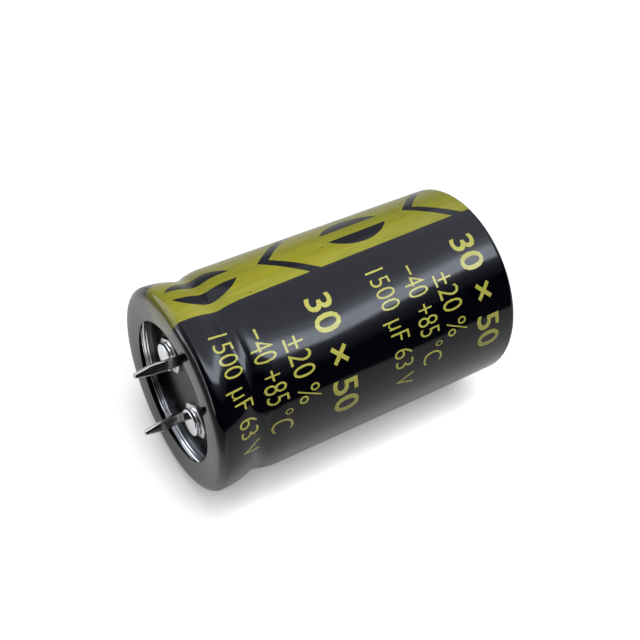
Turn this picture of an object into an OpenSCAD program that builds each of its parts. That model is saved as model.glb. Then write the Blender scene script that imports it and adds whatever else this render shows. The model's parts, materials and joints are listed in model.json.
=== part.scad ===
// Snap-in aluminium electrolytic capacitor, 30 x 50 mm case, two-terminal type.
// The axis is Z. The closed end stands on z = 0 and the terminals point up.
// +X runs through the negative blade, which lies beside the polarity stripe.

/* [Case] */
// Outer diameter over the sleeve
body_d = 30; // [26:1:36]
// Height from the closed end to the rim
body_h = 50; // [40:1:60]
// Thickness of the heat-shrunk sleeve
sleeve_t = 0.2; // [0.15:0.01:0.25]
// Thickness of the can's wall and closed end
can_t = 0.45; // [0.35:0.05:0.5]
// Radius of the sleeve's corner at the closed end
base_r = 1; // [0.8:0.1:2]
// How far the sleeve folds in over the closed end
base_fold = 2.6; // [1.5:0.1:4]
// How far the sleeve folds in over the rim
rim_fold = 4.4; // [4:0.1:5]
// How far the sleeve's free edge sags below the rim
fold_sag = 0.2; // [0.1:0.05:0.3]

/* [Neck] */
// Height of the rim above the middle of the rolled neck
neck_from_rim = 6.4; // [6.2:0.1:6.8]
// Depth of the neck below the body
neck_depth = 0.63; // [0.5:0.01:0.7]
// Hollow radius at the bottom of the neck
neck_r = 3; // [2:0.25:4]
// Radius of the shoulder below the neck
shoulder_r = 9; // [6:0.5:12]
// Radius of the flank between the neck and the bead
flank_r = 12; // [11:0.25:12.5]
// How far the bead at the rim stands proud of the body
bead_rise = 0.25; // [0.2:0.01:0.28]

/* [Curl and vent] */
// Width of the can's curled edge, measured in from the body
curl_w = 2.9; // [2.8:0.05:3.2]
// How deep the curled edge bites into the rubber
curl_bite = 0.35; // [0.2:0.05:0.6]
// Length of each scored line of the pressure vent
vent_l = 15; // [8:1:18]
// Width of a scored line at the surface
vent_w = 0.6; // [0.4:0.1:1]
// Depth of a scored line
vent_depth = 0.25; // [0.1:0.05:0.3]

/* [Deck] */
// Depth of the rubber's face below the rim
deck_recess = 2.3; // [2.1:0.1:2.4]
// Thickness of the rubber layer
rubber_t = 1.4; // [1.2:0.1:1.5]
// Thickness of the phenolic plate
plate_t = 1.6; // [1.4:0.1:1.7]

/* [Terminals] */
// Distance between the two blades
pitch = 10; // [9:0.5:11]
// Direction from a rivet to its blade, in degrees from +X
lug_angle = -70; // [-80:1:-60]
// Distance from a rivet to the upper part of its blade
lug_reach = 3.16; // [3.1:0.02:3.4]
// Distance across a lug's flats
lug_w = 5; // [4.6:0.1:5.2]
// Diameter of a lug over its round corners
lug_d = 5.6; // [5.4:0.1:6]
// Thickness of a lug
lug_t = 0.5; // [0.3:0.1:0.6]
// Height of a blade's tip above the rim
blade_out = 4.8; // [3.8:0.1:5.5]
// Width of a blade
blade_w = 1.45; // [1.2:0.05:1.7]
// Thickness of a blade
blade_t = 0.8; // [0.6:0.05:0.9]
// Width of a blade's tip
tip_w = 0.65; // [0.5:0.05:0.9]
// Length of the taper towards the tip
taper_l = 2.7; // [2:0.1:3]
// Sideways step of the blade's kink
kink = 0.4; // [0.2:0.05:0.5]
// Height of the kink's start above the rim
kink_out = 0.3; // [0.1:0.1:0.6]
// Height that the kink takes up
kink_h = 1.4; // [1:0.1:1.6]

/* [Rivets] */
// Diameter of a rivet's shank
shank_d = 2.2; // [1.8:0.1:2.6]
// Diameter of a rivet's outer head
head_d = 4.2; // [3.8:0.1:4.4]
// Thickness of a rivet's outer head
head_t = 0.85; // [0.6:0.05:1]
// Edge radius of both heads
head_edge_r = 0.25; // [0.1:0.05:0.3]
// Diameter of the clenched inner head
clench_d = 3.8; // [3.4:0.1:4.2]
// Thickness of the clenched inner head
clench_t = 0.7; // [0.5:0.05:0.9]
// Diameter of an inner washer
washer_d = 5; // [4.6:0.1:5.6]
// Thickness of an inner washer
washer_t = 0.5; // [0.3:0.1:0.7]
// Clearance of a shank in its holes
hole_gap = 0.05; // [0.02:0.01:0.1]

/* [Winding and tabs] */
// Gap between the taped winding and the can
winding_gap = 1.3; // [1.2:0.1:2]
// Diameter of the hole that the winding spindle left
core_d = 4; // [3:0.5:6]
// Space between the winding and the deck plate
head_space = 4.2; // [3.5:0.1:6]
// Thickness of the tape round the winding
tape_t = 0.1; // [0.05:0.01:0.15]
// Bare height of winding left at each end of the tape
tape_margin = 3; // [1:0.5:6]
// Thickness of the insulating disc under the winding
disc_t = 0.4; // [0.2:0.1:0.8]
// Gap between that disc and the can
disc_gap = 0.6; // [0.5:0.1:1]
// Width of a foil tab
tab_w = 3; // [2.6:0.2:4]
// Thickness of a foil tab
tab_t = 0.25; // [0.15:0.05:0.3]
// Inner radius of a tab's bend
tab_bend_r = 0.5; // [0.3:0.1:0.8]
// Distance from a rivet out to its tab's upright run
tab_reach = 4.2; // [3.8:0.1:5]
// Depth of a tab in the winding
tab_depth = 6; // [3:0.5:12]
// Clearance of a tab in its slot
tab_gap = 0.05; // [0.02:0.01:0.1]

/* [Printed stripe] */
// Direction of the stripe's middle, in degrees from +X
stripe_angle = 4; // [-20:1:20]
// Width of the stripe, measured round the body
stripe_w = 10.2; // [8:0.1:12]
// Thickness of the ink in the sleeve's surface
ink_t = 0.05; // [0.03:0.01:0.08]
// Length of a minus mark
minus_l = 10; // [8:0.5:11]
// Width of a minus mark over both halves
minus_w = 7.3; // [6:0.1:7.6]
// Width of the bar that splits a minus mark
minus_bar = 2.1; // [1.5:0.1:2.5]
// Height of the first minus mark's middle
minus_z = 18.2; // [16:0.1:19]
// Height of the first arrow's point
arrow_z = 9.3; // [8:0.1:10]
// Width of an arrow's line, measured along the axis
arrow_w = 1.9; // [1:0.1:3]
// Distance between repeats of the print
print_pitch = 25; // [24:0.1:25.5]

/* [Hidden] */
$fn = 180;

// Radii and heights of the case's section
body_r = body_d / 2;
wall_t = sleeve_t + can_t;
neck_z = body_h - neck_from_rim;
flank_depth = neck_depth + bead_rise;
shoulder_rise = sqrt(2 * (neck_r + shoulder_r) * neck_depth - pow(neck_depth, 2));
flank_rise = sqrt(2 * (neck_r + flank_r) * flank_depth - pow(flank_depth, 2));
shoulder_z = neck_z - shoulder_rise;
bead_z = neck_z + flank_rise;
rim_r = body_h - bead_z;
shoulder_turn = asin(shoulder_rise / (neck_r + shoulder_r));
flank_turn = asin(flank_rise / (neck_r + flank_r));
neck_c = [body_r - neck_depth + neck_r, neck_z];
shoulder_c = [body_r - shoulder_r, shoulder_z];
flank_c = [body_r + bead_rise - flank_r, bead_z];
rim_c = [body_r + bead_rise - rim_r, bead_z];
mouth_r = body_r - rim_fold;
base_mouth_r = body_r - base_fold;
curl_r = body_r - curl_w;
sag_r = curl_r + can_t + (rim_r - wall_t) / 2;

// Heights of the deck's stack
deck_z = body_h - deck_recess;
curl_tip_z = deck_z - curl_bite + can_t / 2;
plate_top_z = deck_z - rubber_t;
plate_z = plate_top_z - plate_t;
plate_r = flank_inner_r(plate_z);
lug_top_z = deck_z + lug_t;
washer_top_z = plate_z - tab_t;
clench_top_z = washer_top_z - washer_t;

// Blade and rivet places
lug_dir = [cos(lug_angle), sin(lug_angle)];
rivet_xy = [pitch / 2, 0] - lug_reach * lug_dir;
tip_z = body_h + blade_out;
kink_z = body_h + kink_out;
rivet_azimuth = atan2(rivet_xy[1], rivet_xy[0]);

// Winding and its slots
winding_z = wall_t + disc_t;
winding_top_z = plate_z - head_space;
winding_r = body_r - wall_t - winding_gap - tape_t;
slot_r = norm(rivet_xy) + tab_reach;

// A radius and a reach that are larger than the whole part
beyond = body_d + body_h;

function polar(r, a) = [r * cos(a), r * sin(a)];

// Inner radius of the can on the flank between the neck and the bead
function flank_inner_r(z) =
    flank_c[0] + sqrt(pow(flank_r - wall_t, 2) - pow(bead_z - z, 2));

// A slice of a disc between two directions
module pie(centre, r, from, to) {
    translate(centre)
        intersection() {
            circle(r);
            polygon([[0, 0], polar(2 * r, from), polar(2 * r, to)]);
        }
}

// Section of the case's outside, moved inwards by inset. X is the radius and Y the height.
module outline(inset) {
    difference() {
        union() {
            polygon([
                [0, inset],
                [body_r - base_r, inset],
                [body_r - base_r, base_r],
                [body_r - inset, base_r],
                [body_r - inset, shoulder_z],
                shoulder_c + polar(shoulder_r - inset, shoulder_turn),
                neck_c,
                flank_c + polar(flank_r - inset, -flank_turn),
                [body_r + bead_rise - inset, bead_z],
                rim_c,
                [rim_c[0], body_h - inset],
                [sag_r, body_h - inset],
                [mouth_r, body_h - fold_sag - inset],
                [0, body_h - fold_sag - inset]
            ]);
            translate([body_r - base_r, base_r]) circle(base_r - inset);
            translate(rim_c) circle(rim_r - inset);
            pie(shoulder_c, shoulder_r - inset, 0, shoulder_turn);
            pie(flank_c, flank_r - inset, -flank_turn, 0);
        }
        translate(neck_c) circle(neck_r + inset);
    }
}

// Everything outside the round-cornered mouth of radius r, below the height top
module outside_mouth(r, top, corner) {
    translate([r + corner, 0]) square([beyond, top]);
    translate([r, 0]) square([beyond, top - corner]);
    translate([r + corner, top - corner]) circle(corner);
}

// Section of the can's curled edge where it bites into the rubber
module curl_tip() {
    translate([curl_r, curl_tip_z]) square([can_t, body_h - deck_z]);
    translate([curl_r + can_t / 2, curl_tip_z]) circle(can_t / 2);
}

// Repeats its children at the negative terminal, or turned half round for the positive one
module at_pole(positive) {
    rotate(positive ? 180 : 0) children();
}

module sleeve_solid() {
    rotate_extrude()
        difference() {
            outline(0);
            outline(sleeve_t);
            translate([0, body_h / 2]) square([mouth_r, body_h]);
            square([base_mouth_r, body_h / 2]);
        }
}

module ink_skin() {
    rotate_extrude()
        difference() {
            outline(0);
            outline(ink_t);
            translate([0, body_h / 2]) square([mouth_r, body_h]);
            square([base_mouth_r, body_h / 2]);
        }
}

// One half of a minus mark: a flat segment of a disc beside the bar
module minus_half() {
    rise = (minus_w - minus_bar) / 2;
    r = (pow(minus_l / 2, 2) + pow(rise, 2)) / (2 * rise);
    intersection() {
        translate([minus_bar / 2 + rise - r, 0]) circle(r);
        translate([minus_bar / 2, -minus_l]) square([minus_w, 2 * minus_l]);
    }
}

// The line of an arrow that points along +Y
module arrow_line() {
    polygon([[-stripe_w, -stripe_w], [0, 0], [stripe_w, -stripe_w],
             [stripe_w, -stripe_w - arrow_w], [0, -arrow_w], [-stripe_w, -stripe_w - arrow_w]]);
}

// Upright wedge that the stripe fills, with its marks left out. The stripe's middle is at +X.
// The repeat of the minus mark, where the print runs over the neck, is finish and not geometry.
module stripe_field() {
    half_angle = stripe_w / body_r * 90 / PI;
    difference() {
        linear_extrude(beyond)
            polygon([[0, 0], polar(beyond, -half_angle), polar(beyond, half_angle)]);
        rotate([90, 0, 90])
            linear_extrude(beyond) {
                for (side = [0, 1])
                    mirror([side, 0])
                        translate([0, minus_z]) minus_half();
                for (k = [0, 1])
                    translate([0, arrow_z + k * print_pitch]) arrow_line();
            }
    }
}

module polarity_stripe() {
    color("olive")
        intersection() {
            ink_skin();
            rotate(stripe_angle) stripe_field();
        }
}

module sleeve() {
    color([0.09, 0.09, 0.11])
        difference() {
            sleeve_solid();
            intersection() {
                ink_skin();
                rotate(stripe_angle) stripe_field();
            }
        }
}

// Three scored lines that cross in the middle of the closed end
module vent_score() {
    for (a = [0 : 60 : 120])
        rotate(a)
            translate([-vent_l / 2, 0, sleeve_t])
                rotate([90, 0, 90])
                    linear_extrude(vent_l)
                        polygon([[-vent_w / 2, 0], [0, vent_depth], [vent_w / 2, 0]]);
}

module can() {
    color([0.8, 0.81, 0.82])
        difference() {
            rotate_extrude()
                difference() {
                    intersection() {
                        outline(sleeve_t);
                        union() {
                            outside_mouth(curl_r, body_h - sleeve_t, rim_r - sleeve_t);
                            square([beyond, neck_z]);
                        }
                    }
                    intersection() {
                        outline(wall_t);
                        union() {
                            outside_mouth(curl_r + can_t, body_h - wall_t, rim_r - wall_t);
                            difference() {
                                square([beyond, curl_tip_z]);
                                translate([curl_r + can_t / 2, curl_tip_z]) circle(can_t / 2);
                            }
                        }
                    }
                }
            vent_score();
        }
}

module seal_rubber() {
    color([0.07, 0.07, 0.08])
        difference() {
            rotate_extrude()
                difference() {
                    intersection() {
                        outline(wall_t);
                        translate([0, plate_top_z]) square([beyond, rubber_t]);
                    }
                    curl_tip();
                }
            rivet_holes(shank_d / 2);
        }
}

module deck_plate() {
    color([0.35, 0.2, 0.1])
        difference() {
            translate([0, 0, plate_z]) cylinder(r = plate_r, h = plate_t);
            rivet_holes(shank_d / 2 + hole_gap);
        }
}

// Holes for both rivets, through whatever they are cut from
module rivet_holes(r) {
    for (positive = [false, true])
        at_pole(positive)
            translate(rivet_xy) cylinder(r = r, h = beyond);
}

// A head of a rivet: a flat disc whose outer edge is round, facing up from z = 0
module rivet_head(d, t) {
    rotate_extrude()
        union() {
            square([d / 2, t - head_edge_r]);
            square([d / 2 - head_edge_r, t]);
            translate([d / 2 - head_edge_r, t - head_edge_r]) circle(head_edge_r);
        }
}

module rivet() {
    color([0.88, 0.88, 0.89])
        translate(rivet_xy) {
            translate([0, 0, clench_top_z]) cylinder(d = shank_d, h = lug_top_z - clench_top_z);
            translate([0, 0, lug_top_z]) rivet_head(head_d, head_t);
            translate([0, 0, clench_top_z]) mirror([0, 0, 1]) rivet_head(clench_d, clench_t);
        }
}

// Side view of the tongue and the blade. X runs from the rivet to the blade and Y is the height.
module blade_side() {
    near = lug_reach - blade_t / 2;
    far = lug_reach + blade_t / 2;
    nip = blade_t / 4;
    fillet = lug_t / 2;
    kink_end = kink_z + kink_h;
    difference() {
        union() {
            translate([0, deck_z]) square([far + kink, lug_t]);
            polygon([
                [near + kink, deck_z], [near + kink, kink_z], [near, kink_end],
                [near, tip_z - nip], [near + nip, tip_z], [far - nip, tip_z], [far, tip_z - nip],
                [far, kink_end], [far + kink, kink_z], [far + kink, deck_z]
            ]);
            translate([near + kink - fillet, lug_top_z]) square(fillet);
        }
        translate([near + kink - fillet, lug_top_z + fillet]) circle(fillet);
        difference() {
            translate([far + kink - lug_t, deck_z]) square([beyond, lug_t]);
            translate([far + kink - lug_t, lug_top_z]) circle(lug_t);
        }
    }
}

// Front view of the tongue and the blade. X is the width and Y is the height.
module blade_front() {
    nip = tip_w / 4;
    polygon([
        [-blade_w / 2, 0], [blade_w / 2, 0],
        [blade_w / 2, tip_z - taper_l], [tip_w / 2, tip_z - nip], [tip_w / 2 - nip, tip_z],
        [nip - tip_w / 2, tip_z], [-tip_w / 2, tip_z - nip], [-blade_w / 2, tip_z - taper_l]
    ]);
}

module terminal() {
    color([0.72, 0.71, 0.68])
        translate(rivet_xy)
            rotate(lug_angle)
                difference() {
                    union() {
                        translate([0, 0, deck_z])
                            linear_extrude(lug_t)
                                intersection() {
                                    circle(d = lug_d);
                                    square(lug_w, center = true);
                                }
                        intersection() {
                            translate([0, blade_w / 2, 0])
                                rotate([90, 0, 0]) linear_extrude(blade_w) blade_side();
                            rotate([90, 0, 90]) linear_extrude(beyond) blade_front();
                        }
                    }
                    cylinder(r = shank_d / 2 + hole_gap, h = beyond);
                }
}

module washer() {
    color([0.8, 0.8, 0.82])
        translate([rivet_xy[0], rivet_xy[1], clench_top_z])
            difference() {
                cylinder(d = washer_d, h = washer_t);
                cylinder(r = shank_d / 2 + hole_gap, h = washer_t);
            }
}

// Side view of a tab. X runs outwards from the rivet and Y is the height.
module tab_side() {
    outer_r = tab_bend_r + tab_t;
    bend = [tab_reach + tab_t / 2 - outer_r, plate_z - outer_r];
    translate([-washer_d / 2, plate_z - tab_t]) square([washer_d / 2 + bend[0], tab_t]);
    translate([tab_reach - tab_t / 2, winding_top_z - tab_depth])
        square([tab_t, bend[1] - winding_top_z + tab_depth]);
    difference() {
        pie(bend, outer_r, 0, 90);
        translate(bend) circle(tab_bend_r);
    }
}

module tab() {
    color([0.75, 0.75, 0.77])
        difference() {
            translate(rivet_xy)
                rotate([90, 0, rivet_azimuth])
                    translate([0, 0, -tab_w / 2]) linear_extrude(tab_w) tab_side();
            translate(rivet_xy) cylinder(r = shank_d / 2 + hole_gap, h = beyond);
        }
}

module winding() {
    color([0.78, 0.74, 0.64])
        difference() {
            translate([0, 0, winding_z]) cylinder(r = winding_r, h = winding_top_z - winding_z);
            cylinder(d = core_d, h = beyond);
            for (positive = [false, true])
                at_pole(positive)
                    rotate(rivet_azimuth)
                        translate([slot_r - tab_t / 2 - tab_gap, -tab_w / 2 - tab_gap,
                                   winding_top_z - tab_depth])
                            cube([tab_t + 2 * tab_gap, tab_w + 2 * tab_gap, beyond]);
        }
}

module winding_tape() {
    color([0.2, 0.35, 0.6])
        translate([0, 0, winding_z + tape_margin])
            difference() {
                cylinder(r = winding_r + tape_t, h = winding_top_z - winding_z - 2 * tape_margin);
                cylinder(r = winding_r, h = winding_top_z - winding_z);
            }
}

module base_disc() {
    color([0.85, 0.8, 0.65])
        translate([0, 0, wall_t]) cylinder(r = body_r - wall_t - disc_gap, h = disc_t);
}

module terminal_negative() { at_pole(false) terminal(); }
module terminal_positive() { at_pole(true) terminal(); }
module rivet_negative() { at_pole(false) rivet(); }
module rivet_positive() { at_pole(true) rivet(); }
module washer_negative() { at_pole(false) washer(); }
module washer_positive() { at_pole(true) washer(); }
module cathode_tab() { at_pole(false) tab(); }
module anode_tab() { at_pole(true) tab(); }

sleeve();
polarity_stripe();
can();
seal_rubber();
deck_plate();
terminal_negative();
terminal_positive();
rivet_negative();
rivet_positive();
washer_negative();
washer_positive();
cathode_tab();
anode_tab();
winding();
winding_tape();
base_disc();
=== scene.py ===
# %% [markdown]
# # A snap-in capacitor, dressed on its CAD frame
# A snap-in capacitor is a pressed aluminium can with a black film shrunk round it. A rubber deck closes
# the open end, and two riveted blades stand out of it to be soldered into a circuit board.
# The CAD solids already hold the right sizes. This lesson loads them as a fixed frame and gives them the
# looks: a smooth film with its print, the metal parts with softened edges, and soft studio light.
# The can stands on its closed end with its axis along Z. The frame is in metres, but such small sizes
# are easier to read in millimetres, so they are written that way and multiplied by MM.

# %% Load the CAD frame
import json
import math

import bmesh
import bpy
from mathutils import Matrix, Vector


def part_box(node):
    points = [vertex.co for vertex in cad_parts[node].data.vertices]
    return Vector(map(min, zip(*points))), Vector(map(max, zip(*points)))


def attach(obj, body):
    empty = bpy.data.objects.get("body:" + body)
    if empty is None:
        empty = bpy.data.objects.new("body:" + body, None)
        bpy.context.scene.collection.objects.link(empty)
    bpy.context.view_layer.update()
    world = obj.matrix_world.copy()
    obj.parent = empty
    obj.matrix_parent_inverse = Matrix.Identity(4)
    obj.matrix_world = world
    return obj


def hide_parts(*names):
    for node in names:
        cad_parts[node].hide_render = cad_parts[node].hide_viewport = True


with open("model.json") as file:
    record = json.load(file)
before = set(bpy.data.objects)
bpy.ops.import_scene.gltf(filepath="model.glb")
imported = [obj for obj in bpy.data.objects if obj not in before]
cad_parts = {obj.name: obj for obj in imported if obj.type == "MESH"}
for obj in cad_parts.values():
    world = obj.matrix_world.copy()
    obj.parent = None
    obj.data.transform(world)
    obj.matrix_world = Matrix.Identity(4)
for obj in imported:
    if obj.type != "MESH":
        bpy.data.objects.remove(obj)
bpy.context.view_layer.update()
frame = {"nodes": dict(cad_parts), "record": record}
nodes = frame["nodes"]
mounts = {mount["name"]: mount for mount in frame["record"]["mounts"]}
MM = 0.001


def box_mm(node):
    """The lowest and highest corners of a CAD node, in millimetres."""
    return [Vector([round(c / MM, 3) for c in corner]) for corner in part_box(node)]


print("CAD nodes:", ", ".join(sorted(nodes)))

# %% [markdown]
# ## Camera
# The can lies on its side before the viewer, seen from above its rolled end. Nothing in the frame may
# be moved, so the camera does the turning: it looks at the middle of the axis and is rolled until the
# terminals point down to the left. A fairly long lens at 16 cm keeps the perspective gentle.

# %% Camera
AIM = Vector((1.375, 1.080, 24.483)) * MM
EYE = Vector((90.280, -112.135, 90.315)) * MM
ROLL = -111.665
LENS = 59.38
camera_data = bpy.data.cameras.new("camera")
camera_data.sensor_width = 36
camera_data.lens = LENS
camera_data.clip_start = 0.01
camera_data.clip_end = 20
camera = bpy.data.objects.new("camera", camera_data)
camera.location = EYE
aim = (AIM - camera.location).to_track_quat("-Z", "Y").to_matrix()
camera.rotation_euler = (aim @ Matrix.Rotation(math.radians(ROLL), 3, "Z")).to_euler()
bpy.context.scene.collection.objects.link(camera)
bpy.context.scene.camera = camera
print("distance to the axis in mm:", round((AIM - camera.location).length / MM, 1))

# %% [markdown]
# ## The outline of the film
# The whole case is a body of revolution, so one section line is enough for it. A single vertex is
# spun round each arc's centre and extruded along each straight. That keeps every radius exact, and
# the tangent arcs of shoulder, neck and flank flow into each other without a kink.
# The same line is kept as a list of places along the film, so that the print can follow it.

# %% Section line helpers
WELD = 1e-7    # points closer than this, in metres, become one


def start_line(x, z):
    """A new mesh that holds only the first point of a section line, in the plane y = 0."""
    bm = bmesh.new()
    return bm, bm.verts.new(Vector((x, 0, z)) * MM)


def straight(bm, vert, x, z):
    """Extrudes the line's end to a new place."""
    end = bmesh.ops.extrude_vert_indiv(bm, verts=[vert])["verts"][0]
    end.co = Vector((x, 0, z)) * MM
    return end


def arc(bm, vert, x, z, degrees, steps):
    """Spins the line's end round a centre, anticlockwise if degrees is positive."""
    spun = bmesh.ops.spin(bm, geom=[vert], cent=Vector((x, 0, z)) * MM, axis=(0, -1, 0),
                          angle=math.radians(degrees), steps=steps)
    return spun["geom_last"][0]


def revolve(bm, steps):
    """Spins a section line once round the Z axis and closes its poles."""
    bmesh.ops.spin(bm, geom=bm.verts[:] + bm.edges[:], cent=(0, 0, 0), axis=(0, 0, 1),
                   angle=math.tau, steps=steps, use_merge=True)
    bmesh.ops.remove_doubles(bm, verts=bm.verts[:], dist=WELD)
    bmesh.ops.dissolve_degenerate(bm, edges=bm.edges[:], dist=WELD / 10)
    bmesh.ops.recalc_face_normals(bm, faces=bm.faces[:])


# %% [markdown]
# ## From a mesh to a piece
# Every new piece takes the same last steps: its mesh is shaded smooth with crisp corners, gets one
# material, rides on the frame's only body and stands for the CAD nodes that it hides. A shell gets its
# wall from a Solidify modifier, so that only its outer face has to be drawn.

# %% Pieces
def piece(name, bm, material, sharp, replaces=()):
    """Turns a finished bmesh into a piece of the object that rides on the frame.

    Edges sharper than the angle stay crisp. So do free edges, where a modifier adds a rim later.
    """
    mesh = bpy.data.meshes.new(name)
    bm.edges.index_update()
    free_edges = [e.index for e in bm.edges if e.is_boundary]
    bm.to_mesh(mesh)
    bm.free()
    mesh.shade_smooth()
    mesh.set_sharp_from_angle(angle=math.radians(sharp))
    for index in free_edges:
        mesh.edges[index].use_edge_sharp = True
    obj = bpy.data.objects.new(name, mesh)
    bpy.context.scene.collection.objects.link(obj)
    mesh.materials.append(material)
    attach(obj, "root")
    if replaces:
        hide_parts(*replaces)
    print(f"{name}: {len(mesh.vertices)} vertices, {len(mesh.polygons)} faces")
    return obj


def thicken(obj, name, thickness):
    """Gives a shell its thickness in mm, inwards from its outer face."""
    wall = obj.modifiers.new(name, "SOLIDIFY")
    wall.thickness = thickness * MM
    wall.offset = -1


# %% [markdown]
# ## The sizes of the section
# The outer sizes come from the frame: the body's radius from its mount, the rim's height and the
# thicknesses from the boxes of the solids. The film's free edges, the neck and the radii are set
# against them. Each turning angle follows from the neck's depth and the radii that meet there.

# %% Section of the film
BODY_R = mounts["case"]["dims"]["r_mm"]
RIM_Z = box_mm("sleeve")[1].z
FILM_T = box_mm("can")[0].z
CAN_T = box_mm("base_disc")[0].z - FILM_T
BEAD_RISE = box_mm("can")[1].x + FILM_T - BODY_R
BASE_R = 1.0
BASE_MOUTH_R = BODY_R - 2.6
MOUTH_R = BODY_R - 4.4
CURL_R = BODY_R - 2.9
FOLD_SAG = 0.2
EDGE_ROW, EDGE_RISE = 0.1, 0.009    # the film's last row at a free edge, and its slope at the mouth
NECK_Z = RIM_Z - 6.4
NECK_DEPTH = 0.63
NECK_R = 3.0
SHOULDER_R = 9.0
FLANK_R = 12.0
flank_depth = NECK_DEPTH + BEAD_RISE
shoulder_rise = math.sqrt(2 * (NECK_R + SHOULDER_R) * NECK_DEPTH - NECK_DEPTH ** 2)
flank_rise = math.sqrt(2 * (NECK_R + FLANK_R) * flank_depth - flank_depth ** 2)
shoulder_turn = math.degrees(math.asin(shoulder_rise / (NECK_R + SHOULDER_R)))
flank_turn = math.degrees(math.asin(flank_rise / (NECK_R + FLANK_R)))
SHOULDER_Z = NECK_Z - shoulder_rise
BEAD_Z = NECK_Z + flank_rise
RIM_R = RIM_Z - BEAD_Z
RIM_CENTRE_R = BODY_R + BEAD_RISE - RIM_R
SAG_START_R = CURL_R + CAN_T + (RIM_R - FILM_T - CAN_T) / 2


def film_line(rows):
    """The film's outer face from its free edge at the closed end to its free edge at the mouth."""
    bm, v = start_line(BASE_MOUTH_R, 0)
    v = straight(bm, v, BASE_MOUTH_R + EDGE_ROW, 0)
    v = straight(bm, v, BODY_R - BASE_R, 0)
    v = arc(bm, v, BODY_R - BASE_R, BASE_R, 90, rows)
    v = straight(bm, v, BODY_R, SHOULDER_Z)
    v = arc(bm, v, BODY_R - SHOULDER_R, SHOULDER_Z, shoulder_turn, rows)
    v = arc(bm, v, BODY_R - NECK_DEPTH + NECK_R, NECK_Z, -(shoulder_turn + flank_turn), 2 * rows)
    v = arc(bm, v, BODY_R + BEAD_RISE - FLANK_R, BEAD_Z, flank_turn, rows)
    v = arc(bm, v, RIM_CENTRE_R, BEAD_Z, 90, 2 * rows)
    v = straight(bm, v, SAG_START_R, RIM_Z)
    v = straight(bm, v, MOUTH_R + EDGE_ROW, RIM_Z - FOLD_SAG + EDGE_RISE)
    straight(bm, v, MOUTH_R, RIM_Z - FOLD_SAG)
    return bm


print("film and can are", round(FILM_T, 3), "and", round(CAN_T, 3), "mm thick")
print("bead at", round(BEAD_Z, 3), "mm, rim radius", round(RIM_R, 3), "mm")

# %% [markdown]
# ## Material helpers
# Every finish is built from nodes on Object coordinates, which are the same as the frame's own metres.
# A noise with a scale of 1000 therefore has features about a millimetre across.

# %% Material helpers
def shader_of(material):
    """The one shader that every finish is made with."""
    return material.node_tree.nodes["Principled BSDF"]


def finish_of(name, **sockets):
    """A new material, with constants set straight on the shader's own sockets."""
    material = bpy.data.materials.new(name)
    material.use_nodes = True
    for socket, value in sockets.items():
        shader_of(material).inputs[socket.replace("_", " ")].default_value = value
    return material


def connect(tree, socket, value):
    """Links another node's output to a socket, or sets the socket to a plain value."""
    if isinstance(value, bpy.types.NodeSocket):
        tree.links.new(value, socket)
    else:
        socket.default_value = value


def add(material, kind, attributes=None, **inputs):
    """Adds a node. Its inputs are given by name, with _ for a space, or by number, as i0 or i1.

    Each input is a number, a colour, or another node's output socket.
    """
    made = material.node_tree.nodes.new(kind)
    for key, value in (attributes or {}).items():
        setattr(made, key, value)
    for key, value in inputs.items():
        numbered = key[0] == "i" and key[1:].isdigit()
        socket = made.inputs[int(key[1:]) if numbered else key.replace("_", " ")]
        connect(material.node_tree, socket, value)
    return made


def feed(material, socket, source):
    """Links a node's output to one of the shader's sockets."""
    material.node_tree.links.new(source, shader_of(material).inputs[socket])


# %% Pattern helpers
def place(material, stretch=(1, 1, 1)):
    """Object coordinates, scaled by a Mapping node: less than 1 draws a pattern out along that axis."""
    where = add(material, "ShaderNodeTexCoord").outputs["Object"]
    return add(material, "ShaderNodeMapping", Vector=where, Scale=stretch).outputs["Vector"]


def noise(material, vector, scale, detail=3.0, roughness=0.5):
    """A soft random pattern, from 0 to 1."""
    made = add(material, "ShaderNodeTexNoise", Vector=vector, Scale=scale, Detail=detail,
               Roughness=roughness)
    return made.outputs["Fac"]


def spread(material, value, low, high, start=0.3, stop=0.7):
    """Maps a pattern's values from start..stop to low..high."""
    made = add(material, "ShaderNodeMapRange", Value=value, From_Min=start, From_Max=stop,
               To_Min=low, To_Max=high)
    return made.outputs["Result"]


def blend_colour(material, factor, dark, light):
    """Mixes two tones. In a colour Mix node, input 0 is the factor and 6 and 7 are the colours."""
    light = light if isinstance(light, bpy.types.NodeSocket) else (*light, 1)
    dark = dark if isinstance(dark, bpy.types.NodeSocket) else (*dark, 1)
    made = add(material, "ShaderNodeMix", {"data_type": "RGBA"}, i0=factor, i6=dark, i7=light)
    return made.outputs[2]


def relief(material, height, distance):
    """Tilts the light on the surface as a relief would that is so deep, in metres."""
    made = add(material, "ShaderNodeBump", Height=height, Distance=distance)
    feed(material, "Normal", made.outputs["Normal"])


# %% [markdown]
# ## Film and inks
# The film is glossy and almost black. Shrinking leaves it very slightly uneven, so the reflections
# waver, and handling leaves faint smears that only show in the gloss. The gold ink lies in the same
# film, so it gets the same gloss and the same unevenness, with a tone that varies a little and a few
# pinholes. The lettering is a thinner, paler coat of it.

# %% Film and inks
PLASTIC_IOR = 1.5
FILM_GLOSS, INK_GLOSS, SMEAR = 0.045, 0.07, 0.07
WAVE_H = 18e-6
PINHOLE_TONE = (0.02, 0.02, 0.01)


def film_surface(material, gloss):
    """The unevenness and the smears that the film and its print share."""
    where = place(material)
    waves = noise(material, place(material, stretch=(1, 1, 0.25)), 260, detail=2)
    relief(material, waves, WAVE_H)
    smears = noise(material, where, 420, detail=5, roughness=0.65)
    feed(material, "Roughness", spread(material, smears, gloss, gloss + SMEAR))
    return where


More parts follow.
